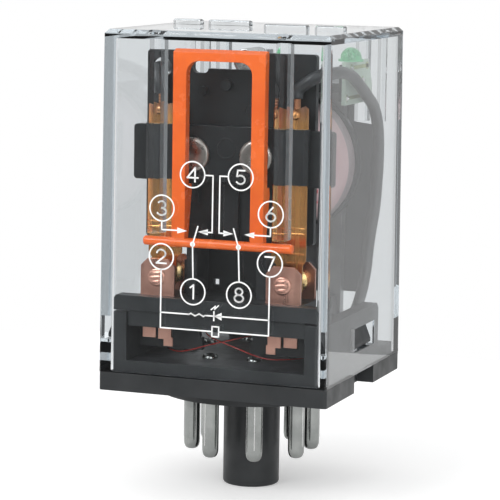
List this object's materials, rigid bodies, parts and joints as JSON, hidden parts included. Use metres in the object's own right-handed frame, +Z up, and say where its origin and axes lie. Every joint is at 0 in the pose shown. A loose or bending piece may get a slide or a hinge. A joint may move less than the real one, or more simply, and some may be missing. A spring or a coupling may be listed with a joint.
{
  "type": "plug in relay",
  "caption": "Plug-in relay: clear square cover over a coil, swinging armature, contact springs and fixed contacts, on a black octal base with round pins and a keyed spigot.",
  "frame": {"origin": "centre of the pin circle on the round seating face that rests on the socket", "axes": "+Z up, away from the socket, +Y towards the back where the spigot's key is, +X to the right seen from the contact side"},
  "size_m": [0.034, 0.034, 0.0671],
  "materials": {
    "bare_copper": "bare copper",
    "black_base_plastic": "moulded, satin",
    "black_fibre": "fibre sheet",
    "black_inner_plastic": "moulded, satin",
    "black_sleeve": "sleeved lead",
    "clear_cover": "clear polycarbonate",
    "coil_tape": "printed tape",
    "copper_braid": "fine strands",
    "diode_glass": "moulded",
    "enamel_winding": "enamelled wire",
    "enamel_wire": "red enamel",
    "gold_contact": "gilded",
    "green_board": "glass fibre laminate",
    "green_lamp": "tinted lens",
    "nickel_pin": "nickel plated brass",
    "nickel_steel": "nickel plated",
    "orange_plastic": "moulded, glossy",
    "resistor_body": "lacquered",
    "satin_copper": "satin copper",
    "silver_contact": "silver alloy",
    "spring_copper": "polished spring copper",
    "spring_wire": "bright wire",
    "zinc_iron": "plated iron"
  },
  "bodies": {
    "relay_base": {"base": "black_base_plastic", "bobbin": "black_inner_plastic", "coil_tape": "coil_tape", "coil_wire_left": "enamel_wire", "coil_wire_right": "enamel_wire", "common_lead_left": "black_sleeve", "common_lead_right": "black_sleeve", "core": "zinc_iron", "cover": "clear_cover", "front_contact_left": "satin_copper", "front_contact_right": "satin_copper", "front_tip_left": "gold_contact", "front_tip_right": "gold_contact", "insulating_sheet": "black_fibre", "lamp": "green_lamp", "lamp_board": "green_board", "lamp_diode": "diode_glass", "lamp_holder": "black_inner_plastic", "lamp_resistor": "resistor_body", "pin_1": "nickel_pin", "pin_2": "nickel_pin", "pin_3": "nickel_pin", "pin_4": "nickel_pin", "pin_5": "nickel_pin", "pin_6": "nickel_pin", "pin_7": "nickel_pin", "pin_8": "nickel_pin", "rear_contact_left": "satin_copper", "rear_contact_right": "satin_copper", "rear_tip_left": "gold_contact", "rear_tip_right": "gold_contact", "return_spring": "spring_wire", "shading_ring": "bare_copper", "terminal_block": "black_base_plastic", "winding": "enamel_winding", "yoke": "zinc_iron", "yoke_screws": "nickel_steel"},
    "armature_assembly": {"armature": "zinc_iron", "contact_carrier": "black_inner_plastic", "clamp_block": "black_inner_plastic", "backing_block": "black_inner_plastic", "indicator_frame": "orange_plastic", "rivet_left": "nickel_steel", "rivet_right": "nickel_steel", "blade_left": "spring_copper", "blade_right": "spring_copper", "moving_tip_left": "silver_contact", "moving_tip_right": "silver_contact", "common_braid_left": "copper_braid", "common_braid_right": "copper_braid"}
  },
  "joints": [
    {"name": "armature_swing", "type": "hinge", "parent": "relay_base", "child": "armature_assembly", "pos_m": [0, -0.0071, 0.04425], "axis": [1, 0, 0], "range_deg": [0, 3], "stiffness_Nm_per_rad": 0.05, "springref_deg": -11.46}
  ]
}
